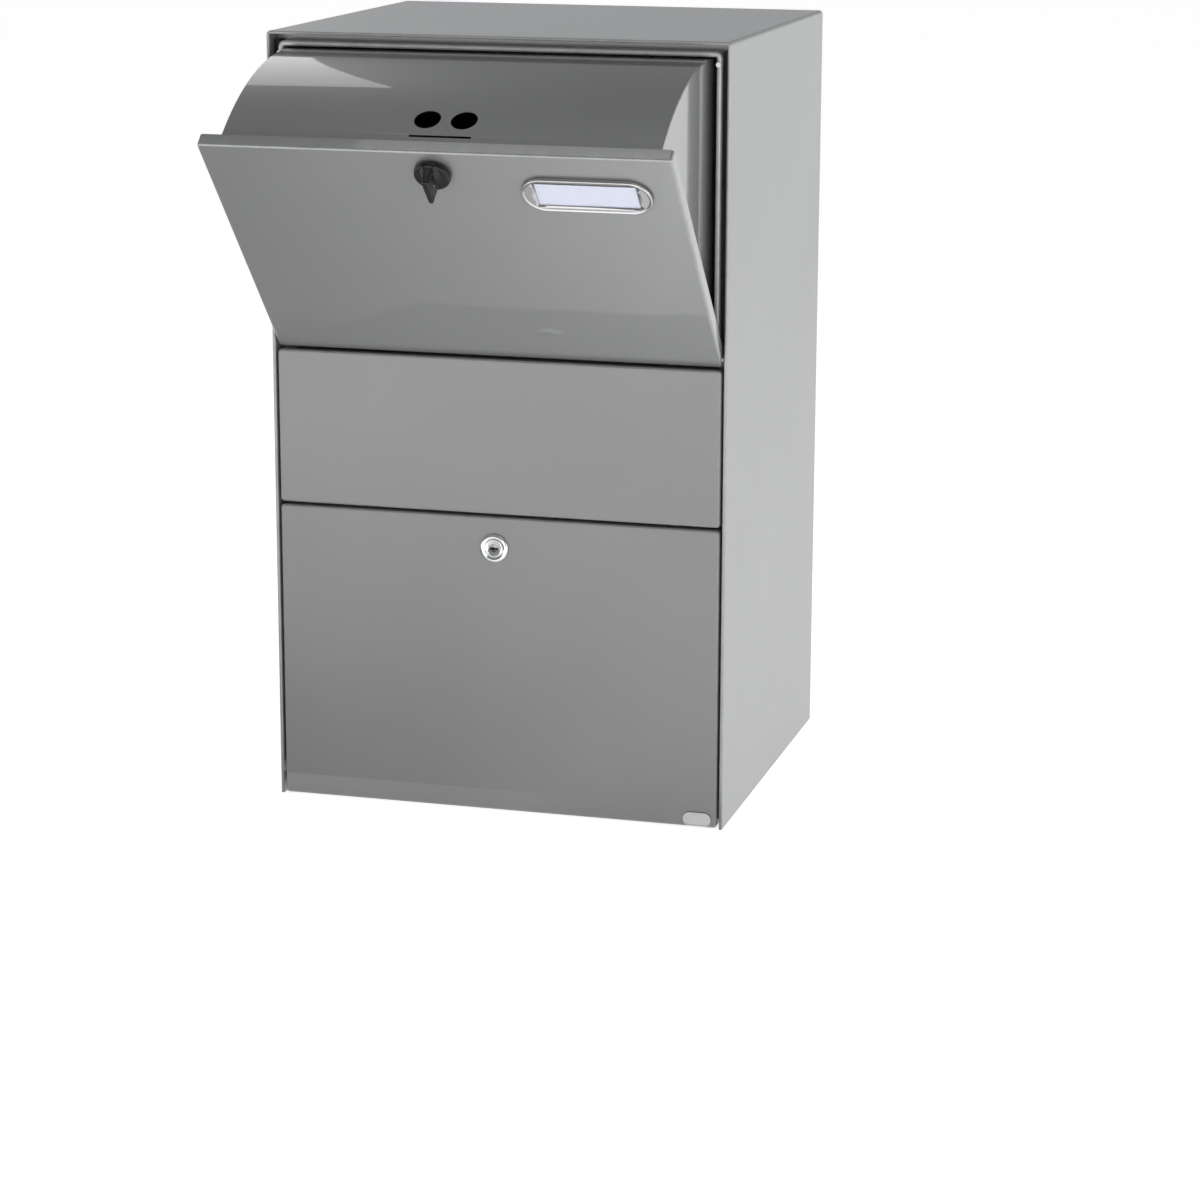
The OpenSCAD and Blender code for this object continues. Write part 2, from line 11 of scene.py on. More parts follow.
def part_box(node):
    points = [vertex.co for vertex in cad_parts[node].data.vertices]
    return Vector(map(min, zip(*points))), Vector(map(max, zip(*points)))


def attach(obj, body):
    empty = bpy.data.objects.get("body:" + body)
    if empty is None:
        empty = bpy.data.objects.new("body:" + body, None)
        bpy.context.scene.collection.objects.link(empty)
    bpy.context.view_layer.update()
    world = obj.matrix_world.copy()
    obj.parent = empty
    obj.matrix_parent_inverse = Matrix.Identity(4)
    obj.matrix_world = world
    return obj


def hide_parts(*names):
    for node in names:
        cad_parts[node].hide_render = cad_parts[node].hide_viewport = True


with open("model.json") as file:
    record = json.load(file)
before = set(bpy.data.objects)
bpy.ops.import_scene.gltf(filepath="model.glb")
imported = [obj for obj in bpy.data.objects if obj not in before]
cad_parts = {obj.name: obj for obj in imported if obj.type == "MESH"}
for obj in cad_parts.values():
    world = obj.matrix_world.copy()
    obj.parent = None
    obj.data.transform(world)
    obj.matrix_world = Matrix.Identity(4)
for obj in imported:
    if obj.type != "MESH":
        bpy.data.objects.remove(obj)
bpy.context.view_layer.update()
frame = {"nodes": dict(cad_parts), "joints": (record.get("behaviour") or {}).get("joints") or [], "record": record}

MM = 0.001
SHEET = 1.5 * MM
MERGE = 1e-6
NO_TURN = Matrix.Identity(4)
NODES = frame["nodes"]
JOINTS = {j["name"]: j for j in frame["joints"]}


# ---- where things are ----

def turn_about(pos, angle):
    """Matrix that turns about the X axis through pos."""
    pos = Vector(pos)
    return Matrix.Translation(pos) @ Matrix.Rotation(angle, 4, "X") @ Matrix.Translation(-pos)


def closed_box(node, place):
    """Corners of a CAD node once the turn that placed it is undone."""
    back = place.inverted()
    points = [back @ v.co for v in NODES[node].data.vertices]
    low = Vector([min(p[i] for p in points) for i in range(3)])
    high = Vector([max(p[i] for p in points) for i in range(3)])
    return low, high


KNOB_AXIS = Vector(JOINTS["knob_turn"]["axis"])
FLAP_TILT = math.atan2(-KNOB_AXIS.z, -KNOB_AXIS.y)
DRUM_AXIS = Vector(JOINTS["drum_tilt"]["pos_m"])
DRUM = turn_about(DRUM_AXIS, FLAP_TILT)
KNOB_CENTRE = DRUM.inverted() @ Vector(JOINTS["knob_turn"]["pos_m"])
LOCK_CENTRE = Vector(JOINTS["lock_turn"]["pos_m"])


# ---- mesh making ----

def finish_mesh(bm, name, place, slot, body, *stands_for):
    """Turns a bmesh into a shaded piece that rides on its body."""
    bmesh.ops.remove_doubles(bm, verts=bm.verts, dist=MERGE)
    bmesh.ops.recalc_face_normals(bm, faces=bm.faces)
    mesh = bpy.data.meshes.new(name)
    bm.to_mesh(mesh)
    bm.free()
    mesh.transform(place)
    piece = bpy.data.objects.new(name, mesh)
    bpy.context.scene.collection.objects.link(piece)
    mesh.materials.append(FINISH[slot])
    smooth_shading(piece, 0.0)
    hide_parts(*stands_for)
    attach(piece, body)


FACE_WEIGHT = 90
ROUNDED_ANGLE = math.radians(40)


def smooth_shading(piece, bevel, flatness=FACE_WEIGHT):
    """Smooth shading that keeps the flats flat, with an optional small edge rounding."""
    for face in piece.data.polygons:
        face.use_smooth = True
    if bevel > 0:
        rounding = piece.modifiers.new("rounding", "BEVEL")
        rounding.width = bevel
        rounding.segments = 3
        rounding.limit_method = "ANGLE"
        rounding.angle_limit = ROUNDED_ANGLE
        rounding.use_clamp_overlap = True
    flats = piece.modifiers.new("flats", "WEIGHTED_NORMAL")
    flats.keep_sharp = True
    flats.weight = flatness


def new_sheet():
    """An empty bmesh whose vertices can be marked as folds."""
    bm = bmesh.new()
    bm.verts.layers.float.new("fold")
    return bm


def add_loops(bm, loops, closed_rings=True):
    """Joins a list of point rings, each with the same number of points, by quads."""
    rings = [[bm.verts.new(p) for p in ring] for ring in loops]
    for low, high in zip(rings, rings[1:]):
        count = len(low)
        for i in range(count if closed_rings else count - 1):
            j = (i + 1) % count
            bm.faces.new((low[i], low[j], high[j], high[i]))
    return rings


def paint_edges(bm, rings, marked):
    """Writes 1 into the vertex attribute 'fold' on the marked rings, where the paint is made paler: partly wear,
    partly a painted highlight.
    """
    layer = bm.verts.layers.float["fold"]
    for index, ring in enumerate(rings):
        for vertex in ring:
            vertex[layer] = 1.0 if index in marked else 0.0


def arc(steps, start, end):
    """Angles in radians from start to end, both in degrees."""
    return [math.radians(start + (end - start) * i / steps) for i in range(steps + 1)]


def rounded_outline(low, high, radius, steps=6, extra=()):
    """Points (x, z) of a rounded rectangle, with extra points at given heights on both sides."""
    x0, z0, x1, z1 = low[0], low[1], high[0], high[1]
    points = []
    for cx, cz, start in (
        (x1 - radius, z0 + radius, -90),
        (x1 - radius, z1 - radius, 0),
        (x0 + radius, z1 - radius, 90),
        (x0 + radius, z0 + radius, 180),
    ):
        points += [
            (cx + radius * math.cos(a), cz + radius * math.sin(a))
            for a in arc(steps, start, start + 90)
        ]
        if start == -90:
            points += [(x1, z) for z in extra]
        if start == 90:
            points += [(x0, z) for z in reversed(extra)]
    return points


def lathe(bm, profile, centre, steps=96):
    """Turns (radius, y) points round the Y axis through centre."""
    loops = []
    for radius, y in profile:
        ring = [
            centre + Vector((radius * math.cos(a), y, radius * math.sin(a)))
            for a in arc(steps, 0, 360)[:-1]
        ]
        loops.append(ring)
    return add_loops(bm, loops)


def box_mesh(bm, low, high):
    """Adds a box to bm."""
    made = bmesh.ops.create_cube(bm, size=1.0)
    middle = (Vector(low) + Vector(high)) / 2
    size = Vector(high) - Vector(low)
    for vertex in made["verts"]:
        vertex.co = Vector([middle[i] + vertex.co[i] * size[i] for i in range(3)])


def rod_mesh(bm, radius, start, end, steps=64):
    """Adds a capped rod from start to end."""
    start, end = Vector(start), Vector(end)
    turn = (end - start).to_track_quat("Z", "Y").to_matrix().to_4x4()
    place = Matrix.Translation((start + end) / 2) @ turn
    bmesh.ops.create_cone(
        bm, cap_ends=True, segments=steps, radius1=radius, radius2=radius,
        depth=(end - start).length, matrix=place,
    )


def plain_object(bm, name):
    """A bare object made from a bmesh."""
    mesh = bpy.data.meshes.new(name)
    bm.to_mesh(mesh)
    bm.free()
    made = bpy.data.objects.new(name, mesh)
    bpy.context.scene.collection.objects.link(made)
    return made


def applied(thing):
    """Replaces an object's mesh by its evaluated one and drops its modifiers."""
    graph = bpy.context.evaluated_depsgraph_get()
    mesh = bpy.data.meshes.new_from_object(thing.evaluated_get(graph))
    thing.modifiers.clear()
    thing.data = mesh


def combined(bm, other_bm, operation):
    """Boolean of two bmeshes, as a new bmesh."""
    first, second = plain_object(bm, "first"), plain_object(other_bm, "second")
    boolean = first.modifiers.new("cut", "BOOLEAN")
    boolean.operation = operation
    boolean.solver = "EXACT"
    boolean.object = second
    applied(first)
    result = bmesh.new()
    result.from_mesh(first.data)
    for thing in (first, second):
        bpy.data.objects.remove(thing)
    return result


# ---- materials ----

class Nodes:
    """A short way to write a node tree."""

    def __init__(self, name):
        self.material = bpy.data.materials.new(name)
        self.material.use_nodes = True
        self.tree = self.material.node_tree
        self.shader = self.tree.nodes["Principled BSDF"]

    def add(self, kind, **values):
        node = self.tree.nodes.new("ShaderNode" + kind)
        for key, value in values.items():
            if key in node.inputs:
                self.put(node.inputs[key], value)
            else:
                setattr(node, key, value)
        return node

    def put(self, socket, value):
        if isinstance(value, bpy.types.NodeSocket):
            self.tree.links.new(value, socket)
        elif isinstance(value, bpy.types.Node):
            self.tree.links.new(value.outputs[0], socket)
        else:
            socket.default_value = value

    def set(self, **values):
        for key, value in values.items():
            self.put(self.shader.inputs[key.replace("_", " ")], value)

    def noise(self, scale, detail=2.0, roughness=0.5):
        place = self.add("TexCoord").outputs["Object"]
        node = self.add("TexNoise")
        self.put(node.inputs["Vector"], place)
        node.inputs["Scale"].default_value = scale
        node.inputs["Detail"].default_value = detail
        node.inputs["Roughness"].default_value = roughness
        return node.outputs[0]

    def ramp(self, factor, low, high):
        node = self.add("MapRange")
        self.put(node.inputs["Value"], factor)
        node.inputs["From Min"].default_value = low
        node.inputs["From Max"].default_value = high
        return node.outputs[0]

    def between(self, factor, low, high):
        """A number that runs from low to high with factor."""
        node = self.add("MapRange")
        self.put(node.inputs["Value"], factor)
        node.inputs["To Min"].default_value = low
        node.inputs["To Max"].default_value = high
        return node.outputs[0]

    def mix(self, factor, first, second):
        node = self.add("Mix")
        node.data_type = "RGBA"
        self.put(node.inputs["Factor"], factor)
        self.put(node.inputs[6], first)
        self.put(node.inputs[7], second)
        return node.outputs[2]

    def highest(self, first, second):
        node = self.add("Math")
        node.operation = "MAXIMUM"
        self.put(node.inputs[0], first)
        self.put(node.inputs[1], second)
        return node.outputs[0]

    def times(self, first, second):
        node = self.add("Math")
        node.operation = "MULTIPLY"
        self.put(node.inputs[0], first)
        self.put(node.inputs[1], second)
        return node.outputs[0]

    def bump(self, height, distance, strength=1.0, normal=None):
        node = self.add("Bump")
        self.put(node.inputs["Height"], height)
        node.inputs["Distance"].default_value = distance
        node.inputs["Strength"].default_value = strength
        if normal is not None:
            self.put(node.inputs["Normal"], normal)
        return node.outputs[0]


def shade(colour, factor):
    return tuple(min(1.0, c * factor) for c in colour[:3]) + (1.0,)


def coated_metal(name, colour, rough, grain, metallic, coat, coat_rough, orange_peel):
    """Silver powder coat: fine flake in the colour, grain in the relief, and the folds painted paler, partly wear
    and partly a painted highlight.
    """
    n = Nodes(name)
    flake = n.ramp(n.noise(2600, 1.0), 0.35, 0.65)
    cloud = n.ramp(n.noise(5.0, 3.0), 0.3, 0.7)
    fold_tint_breakup = n.ramp(n.noise(60, 4.0, 0.65), 0.35, 0.75)
    fold = n.add("Attribute", attribute_name="fold").outputs["Fac"]
    base = n.mix(cloud, shade(colour, 0.96), shade(colour, 1.04))
    speckled = n.mix(n.times(flake, 0.22), base, shade(colour, 1.45))
    # Folds marked by the 'fold' attribute are painted paler, broken up by noise: partly wear, partly a painted
    # highlight standing in for light caught by the rounded folds.
    folds_painted_highlight_and_rub = n.mix(n.times(n.times(fold, fold_tint_breakup), 0.35), speckled, shade(colour, 1.8))
    n.set(Base_Color=folds_painted_highlight_and_rub, Metallic=metallic, IOR=1.5, Coat_Weight=coat, Coat_Roughness=coat_rough)
    n.set(Roughness=n.between(n.ramp(n.noise(900, 2.0), 0.3, 0.7), rough - 0.04, rough + 0.05))
    waves = n.bump(n.noise(9.0, 1.0), 0.00025)
    peel = n.bump(n.noise(700, 2.0), orange_peel, normal=waves)
    n.set(Normal=n.bump(n.noise(grain, 2.0, 0.6), 0.00003, 0.6, normal=peel))
    n.put(n.shader.inputs["Coat Normal"], peel)
    return n.material


def rubber(name):
    n = Nodes(name)
    mottle = n.ramp(n.noise(120, 4.0), 0.3, 0.7)
    n.set(Base_Color=n.mix(mottle, (0.012, 0.012, 0.013, 1), (0.028, 0.028, 0.03, 1)))
    n.set(Roughness=n.between(mottle, 0.55, 0.75), Specular_IOR_Level=0.25)
    n.set(Normal=n.bump(n.noise(1800, 3.0), 0.00004, 0.7))
    return n.material


def plastic(name, dark, light, rough, relief, gloss=0.5):
    """Moulded plastic with a fine spark-eroded skin."""
    n = Nodes(name)
    mottle = n.ramp(n.noise(90, 3.0), 0.3, 0.7)
    n.set(Base_Color=n.mix(mottle, dark, light), IOR=1.49, Specular_IOR_Level=gloss)
    n.set(Roughness=n.between(n.ramp(n.noise(400, 3.0), 0.3, 0.7), rough - 0.05, rough + 0.07))
    n.set(Normal=n.bump(n.noise(2200, 2.0), relief, 0.5))
    return n.material


def plated_metal(name, colour, rough, brushed):
    """Plated metal with fine wear in its gloss."""
    n = Nodes(name)
    stain = n.ramp(n.noise(140, 4.0, 0.6), 0.3, 0.75)
    n.set(Base_Color=n.mix(stain, shade(colour, 0.93), shade(colour, 1.05)), Metallic=1.0)
    n.set(Roughness=n.between(stain, rough, rough + 0.08))
    n.set(Normal=n.bump(n.noise(brushed, 3.0), 0.00001, 0.5))
    return n.material


def clear_sheet(name):
    n = Nodes(name)
    haze = n.ramp(n.noise(200, 3.0), 0.3, 0.7)
    n.set(Base_Color=(0.97, 0.98, 1.0, 1), Transmission_Weight=1.0, IOR=1.2)
    n.set(Roughness=n.between(haze, 0.02, 0.08))
    n.set(Normal=n.bump(n.noise(40, 2.0), 0.00002, 0.3))
    return n.material


def paper(name):
    n = Nodes(name)
    fibre = n.ramp(n.noise(900, 5.0, 0.7), 0.25, 0.75)
    n.set(Base_Color=n.mix(fibre, (0.6, 0.61, 0.69, 1), (0.66, 0.67, 0.75, 1)))
    n.set(Roughness=n.between(fibre, 0.6, 0.8))
    n.set(Normal=n.bump(fibre, 0.00002, 0.4))
    return n.material


SILVER = (0.193, 0.195, 0.193)
FINISH = {
    "housing_paint": coated_metal(
        "housing_paint", (0.245, 0.248, 0.246), 0.38, 2400, 0.25, 0.3, 0.22, 0.00004
    ),
    "frame_paint": coated_metal("frame_paint", (0.36, 0.362, 0.355), 0.34, 2400, 0.3, 0.35, 0.2, 0.00003),
    "panel_paint": coated_metal("panel_paint", SILVER, 0.42, 2400, 0.25, 0.15, 0.3, 0.00006),
    "flap_paint": coated_metal("flap_paint", (0.215, 0.218, 0.217), 0.38, 2600, 0.5, 1.0, 0.03, 0.000004),
    "inner_paint": coated_metal("inner_paint", (0.17, 0.172, 0.17), 0.48, 2400, 0.2, 0.1, 0.3, 0.00004),
    "black_rubber": rubber("black_rubber"),
    "nylon": plastic("nylon", (0.74, 0.74, 0.72, 1), (0.82, 0.82, 0.8, 1), 0.4, 0.00002),
    "zinc_steel": plated_metal("zinc_steel", (0.62, 0.62, 0.6), 0.28, 900),
    "lock_chrome": plated_metal("lock_chrome", (0.78, 0.79, 0.8), 0.08, 1500),
    "badge_metal": plated_metal("badge_metal", (0.45, 0.45, 0.455), 0.2, 1800),
    "black_plastic": plastic(
        "black_plastic", (0.003, 0.003, 0.0035, 1), (0.008, 0.008, 0.009, 1), 0.22, 0.00001, 0.32
    ),
    "clear_plastic": clear_sheet("clear_plastic"),
    "card": paper("card"),
}


# ---- sheet metal pieces ----

FOLD = 2.2 * MM
PAN_CORNER = 3.5 * MM
HEM = 3 * MM
PAN_LIP = 9 * MM
KNOB_HOLE = 7 * MM
LOCK_HOLE = 11.15 * MM
LOCK_BORE = 8.48 * MM
RIM_INNER_WIDTH = 392.4 * MM


def pan_rings(low, high, lip):
    """Rings of a folded pan: from its face round the outside fold, over the rim and back inside."""
    depth = high.y - low.y
    transition = low.z + PAN_CORNER + 2 * MM
    inner_fold = FOLD - SHEET
    edge = 0.35 * MM
    profile = [(FOLD + 1.5 * MM, 0.0)]
    profile += [(FOLD * (1 - math.sin(a)), FOLD * (1 - math.cos(a))) for a in arc(6, 0, 90)]
    back = [(0.0, -edge), (edge, 0.0), (SHEET - edge, 0.0), (SHEET, -edge)]
    inside = [
        (SHEET + inner_fold * (1 - math.cos(a)), SHEET + inner_fold * (1 - math.sin(a)))
        for a in arc(4, 0, 90)
    ]
    rings = []

    def ring(inset, y, from_back):
        outline = rounded_outline(
            (low.x + inset, low.z + inset), (high.x - inset, high.z - inset),
            max(PAN_CORNER - inset, 0.4 * MM), extra=(transition,),
        )
        points = []
        for x, z in outline:
            reach = lip if z < transition - 0.5 * MM else depth
            points.append(Vector((x, low.y + (reach + y if from_back else y), z)))
        return points

    rings += [ring(inset, y, False) for inset, y in profile]
    rings += [ring(inset, y, True) for inset, y in back]
    rings += [ring(inset, y, False) for inset, y in inside]
    return rings


def pan_bmesh(low, high, lip):
    """A folded pan, open at the back."""
    bm = new_sheet()
    rings = add_loops(bm, pan_rings(low, high, lip))
    bm.faces.new(rings[0])
    bm.faces.new(list(reversed(rings[-1])))
    paint_edges(bm, rings, marked=range(2, 8))
    return bm


def bracket_notches(low, bracket_box):
    """Cutters for the notches in a pan's lip, one for each hinge bracket."""
    bm = bmesh.new()
    clear = 1.5 * MM
    outer = bracket_box[1].x
    inner = outer - 5 * MM
    for side in (-1, 1):
        xs = sorted((side * (inner - 2 * clear), side * (outer + clear)))
        box_mesh(
            bm,
            (xs[0], low.y + FOLD + 0.3 * MM, low.z - clear),
            (xs[1], low.y + 20 * MM, low.z + SHEET + 0.6 * MM),
        )
    return bm


def hinged_pan(name, node, place, lip, brackets, hole_radius, hole_centre, slot, body):
    """A pan that hangs on its hinge brackets, with one round hole in its face."""
    low, high = closed_box(node, place)
    bm = pan_bmesh(low, high, lip)
    bm = combined(bm, bracket_notches(low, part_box(brackets)), "DIFFERENCE")
    hole = bmesh.new()
    rod_mesh(hole, hole_radius, hole_centre + Vector((0, -5 * MM, 0)), hole_centre + Vector((0, 5 * MM, 0)))
    bm = combined(bm, hole, "DIFFERENCE")
    finish_mesh(bm, name, place, slot, body, node)


def make_fascia():
    low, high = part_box("middle_fascia")
    bm = pan_bmesh(low, high, high.y - low.y)
    finish_mesh(bm, "fascia_panel", NO_TURN, "panel_paint", "housing", "middle_fascia")


def make_housing():
    """One sheet folded over both sides and the top, hemmed round its front edge."""
    low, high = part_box("housing_shell")
    corner = 4 * MM
    hem_depth = 12 * MM
    nose = HEM / 2
    profile = [(0.0, high.y), (0.0, low.y + nose)]
    profile += [(nose * (1 - math.cos(a)), low.y + nose * (1 - math.sin(a))) for a in arc(8, 0, 180)][1:]
    profile += [(HEM, low.y + hem_depth), (HEM - 0.3 * MM, low.y + hem_depth + 0.3 * MM)]
    profile += [(SHEET + 0.1 * MM, low.y + hem_depth + 0.3 * MM), (SHEET, low.y + hem_depth + 0.5 * MM)]
    profile += [(SHEET, high.y)]
    bm = new_sheet()
    rings = []
    for inset, y in profile:
        radius = max(corner - inset, 0.8 * MM)
        x1, top = high.x - inset, high.z - inset
        side = [(x1, low.z), (x1, low.z + 60 * MM)]
        bend = [
            (x1 - radius + radius * math.cos(a), top - radius + radius * math.sin(a))
            for a in arc(8, 0, 90)
        ]
        half = side + bend
        outline = half + [(-x, z) for x, z in reversed(half)]
        rings.append([Vector((x, y, z)) for x, z in outline])
    made = add_loops(bm, rings, closed_rings=False)
    paint_edges(bm, made, marked=range(2, 9))
    count = len(made[0])
    for i in range(count - 1):
        bm.faces.new((made[-1][i], made[-1][i + 1], made[0][i + 1], made[0][i]))
    for end in (0, count - 1):
        bm.faces.new([ring[end] for ring in made])
    finish_mesh(bm, "housing_skin", NO_TURN, "housing_paint", "housing", "housing_shell")


def make_rim(name, node, inner_width, closed):
    """Raised rim round an opening, with a rounded front edge and rounded outer corners."""
    low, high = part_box(node)
    wall = high.x - inner_width / 2
    outer_corner, inner_corner, nose = 6 * MM, 1.2 * MM, 2.2 * MM

    def corner(x, z, radius, a):
        return x + radius * math.cos(a), z + radius * math.sin(a)

    outer_x = high.x - outer_corner
    inner_x = high.x - wall - inner_corner
    half = []
    if closed:
        foot = (low.z + outer_corner, low.z + wall + inner_corner)
        half += [
            (corner(outer_x, foot[0], outer_corner, a), corner(inner_x, foot[1], inner_corner, a))
            for a in arc(6, -90, 0)
        ]
    else:
        half += [((high.x, low.z), (high.x - wall, low.z))]
    head = (high.z - outer_corner, high.z - wall - inner_corner)
    half += [
        (corner(outer_x, head[0], outer_corner, a), corner(inner_x, head[1], inner_corner, a))
        for a in arc(6, 0, 90)
    ]
    stations = half + [((-o[0], o[1]), (-i[0], i[1])) for o, i in reversed(half)]
    profile = [(0.0, high.y)]
    share = nose / wall
    profile += [(share * (1 - math.cos(a)), low.y + nose * (1 - math.sin(a))) for a in arc(5, 0, 90)]
    profile += [(1 - share * (1 - math.cos(a)), low.y + nose * (1 - math.sin(a))) for a in arc(5, 90, 0)]
    profile += [(1.0, high.y)]
    bm = new_sheet()
    rings = []
    for across, y in profile:
        rings.append([
            Vector((o[0] + (i[0] - o[0]) * across, y, o[1] + (i[1] - o[1]) * across)) for o, i in stations
        ])
    made = add_loops(bm, rings, closed_rings=closed)
    paint_edges(bm, made, marked=range(1, len(made) - 1))
    count = len(stations)
    for i in range(count if closed else count - 1):
        j = (i + 1) % count
        bm.faces.new((made[-1][i], made[-1][j], made[0][j], made[0][i]))
    if not closed:
        for end in (0, count - 1):
            bm.faces.new([ring[end] for ring in made])
    finish_mesh(bm, name, NO_TURN, "frame_paint", "housing", node)


# ---- drum ----

HOOD_T = 1.2 * MM


def make_hood():
    """Rolled sheet with two finger holes and a thin slit for the bolt."""
    low, high = closed_box("hood", DRUM)
    radius = high.z - DRUM_AXIS.z
    first = math.asin((low.y - DRUM_AXIS.y) / radius)
    last = math.asin((high.y - DRUM_AXIS.y) / radius)
    steps = 96
    edge = 0.3 * MM
    across = [(low.x, edge), (low.x + edge, 0.0), (high.x - edge, 0.0), (high.x, edge)]
    section = [(x, radius - drop) for x, drop in across]
    section += [(x, radius - HOOD_T + drop) for x, drop in reversed(across)]
    bm = bmesh.new()
    rings = []
    for i in range(steps + 1):
        a = first + (last - first) * i / steps
        rings.append([
            Vector((x, DRUM_AXIS.y + r * math.sin(a), DRUM_AXIS.z + r * math.cos(a)))
            for x, r in section
        ])
    made = add_loops(bm, rings)
    bm.faces.new(made[0])
    bm.faces.new(list(reversed(made[-1])))
    bmesh.ops.recalc_face_normals(bm, faces=bm.faces)
    bm = combined(bm, hood_openings(radius), "DIFFERENCE")
    finish_mesh(bm, "hood_sheet", DRUM, "flap_paint", "drum", "hood")


def hood_openings(radius):
    """Cutters for the finger holes and for the slit, which is as wide as the bolt and a little more."""
    hole_radius, hole_offset, hole_angle = 11.5 * MM, 16 * MM, math.radians(9.5)
    out = Vector((0, math.sin(hole_angle), math.cos(hole_angle)))
    bm = bmesh.new()
    for side in (-1, 1):
        foot = DRUM_AXIS + out * (radius - 8 * MM)
        foot.x = side * hole_offset
        rod_mesh(bm, hole_radius, foot, foot + out * 16 * MM, steps=96)
    bolt_low, bolt_high = closed_box("latch_bolt", DRUM)
    clear, play = 2 * MM, 0.4 * MM
    box_mesh(
        bm,
        (bolt_low.x - clear, bolt_low.y - play, bolt_high.z - 10 * MM),
        (bolt_high.x + clear, bolt_high.y + play, DRUM_AXIS.z + radius + 10 * MM),
    )
    return bm


# ---- knob ----

def make_knob():
    """Moulded knob: a round skirt with a tall tapered grip that flares into it, fused and softened."""
    c = KNOB_CENTRE
    low, high = closed_box("knob", DRUM)
    back, front = high.y - c.y, low.y - c.y
    face = -7 * MM
    bm = bmesh.new()
    skirt = [(0.0, back), (15.4 * MM, back), (16.0 * MM, back - 0.6 * MM), (15.4 * MM, face + 1.2 * MM),
             (14.9 * MM, face + 0.4 * MM), (14.2 * MM, face), (0.0, face)]
    lathe(bm, skirt, c)
    bmesh.ops.remove_doubles(bm, verts=bm.verts, dist=MERGE)
    grip = bmesh.new()
    levels = (
        (face + 1.5 * MM, 8.5, 14.0, 12.5),
        (face - 0.2 * MM, 8.0, 13.8, 12.8),
        (face - 1.5 * MM, 6.2, 13.6, 13.3),
        (face - 4.0 * MM, 4.7, 13.2, 14.0),
        (face - 8.0 * MM, 3.9, 12.6, 14.6),
        (front + 1.2 * MM, 3.2, 11.6, 15.0),
        (front + 0.4 * MM, 2.8, 11.2, 14.8),
        (front, 2.0, 10.4, 14.0),
    )
    rings = []
    for y, half, up, down in levels:
        tip = half * 0.72
        outline = [
            (-half * 0.6, up), (half * 0.6, up), (half, up - half * 0.5), (half, 2.0),
            (tip, -down + tip * 0.8), (tip * 0.5, -down),
            (-tip * 0.5, -down), (-tip, -down + tip * 0.8),
            (-half, 2.0), (-half, up - half * 0.5),
        ]
        rings.append([c + Vector((x * MM, y, z * MM)) for x, z in outline])
    made = add_loops(grip, rings)
    grip.faces.new(made[0])
    grip.faces.new(list(reversed(made[-1])))
    bmesh.ops.recalc_face_normals(bm, faces=bm.faces)
    bmesh.ops.recalc_face_normals(grip, faces=grip.faces)
    bm = combined(bm, grip, "UNION")
    soft = plain_object(bm, "soft_knob")
    voxels = soft.modifiers.new("voxels", "REMESH")
    voxels.mode = "VOXEL"
    voxels.voxel_size = 0.35 * MM
    relax = soft.modifiers.new("relax", "SMOOTH")
    relax.iterations = 6
    relax.factor = 0.5
    applied(soft)
    result = bmesh.new()
    result.from_mesh(soft.data)
    bpy.data.objects.remove(soft)
    finish_mesh(result, "pointer_knob", DRUM, "black_plastic", "knob_unit", "knob")


# ---- nameplate ----

def stadium(half_length, half_height, steps=24):
    """Points (x, z) of a slot outline with round ends."""
    flat = half_length - half_height
    right = [(flat + half_height * math.cos(a), half_height * math.sin(a)) for a in arc(steps, -90, 90)]
    left = [(-flat + half_height * math.cos(a), half_height * math.sin(a)) for a in arc(steps, 90, 270)]
    return right + left


def stadium_dome(low, high, profile):
    """Rings of a raised slot shape. The profile holds pairs of inset and height above its foot."""
    middle = (low + high) / 2
    half_length, half_height = (high.x - low.x) / 2, (high.z - low.z) / 2
    rings = []
    for inset, height in profile:
        outline = stadium(half_length - inset, half_height - inset)
        rings.append([Vector((middle.x + x, high.y - height, middle.z + z)) for x, z in outline])
    return rings


def make_nameplate():
    """Holder with a raised lip round it and a bevelled window."""
    low, high = closed_box("nameplate_holder", DRUM)
    tall = high.y - low.y
    card_low, card_high = closed_box("card_window", DRUM)
    profile = [
        (0.0, 0.0), (0.0, tall - 1.6 * MM), (0.35 * MM, tall - 0.5 * MM), (1.1 * MM, tall),
        (1.9 * MM, tall - 0.2 * MM), (2.4 * MM, tall - 0.9 * MM),
        (3.2 * MM, tall - 1.0 * MM), (8.0 * MM, tall - 1.0 * MM),
    ]
    bm = bmesh.new()
    made = add_loops(bm, stadium_dome(low, high, profile))
    bm.faces.new(list(reversed(made[0])))
    bm.faces.new(made[-1])
    bmesh.ops.recalc_face_normals(bm, faces=bm.faces)
    window = bmesh.new()
    reach = 0.3 * MM
    slope = 1.4 * MM
    sizes = ((high.y + MM, 0.0), (high.y - 1.2 * MM, 0.0), (low.y - MM, slope))
    rings = []
    for y, grow in sizes:
        x0, x1 = card_low.x - reach - grow, card_high.x + reach + grow
        z0, z1 = card_low.z - reach - grow, card_high.z + reach + grow
        rings.append([Vector((x, y, z)) for x, z in ((x0, z0), (x1, z0), (x1, z1), (x0, z1))])
    cut = add_loops(window, rings)
    window.faces.new(list(reversed(cut[0])))
    window.faces.new(cut[-1])
    bmesh.ops.recalc_face_normals(window, faces=window.faces)
    bm = combined(bm, window, "DIFFERENCE")
    finish_mesh(bm, "nameplate_frame", DRUM, "badge_metal", "drum", "nameplate_holder")


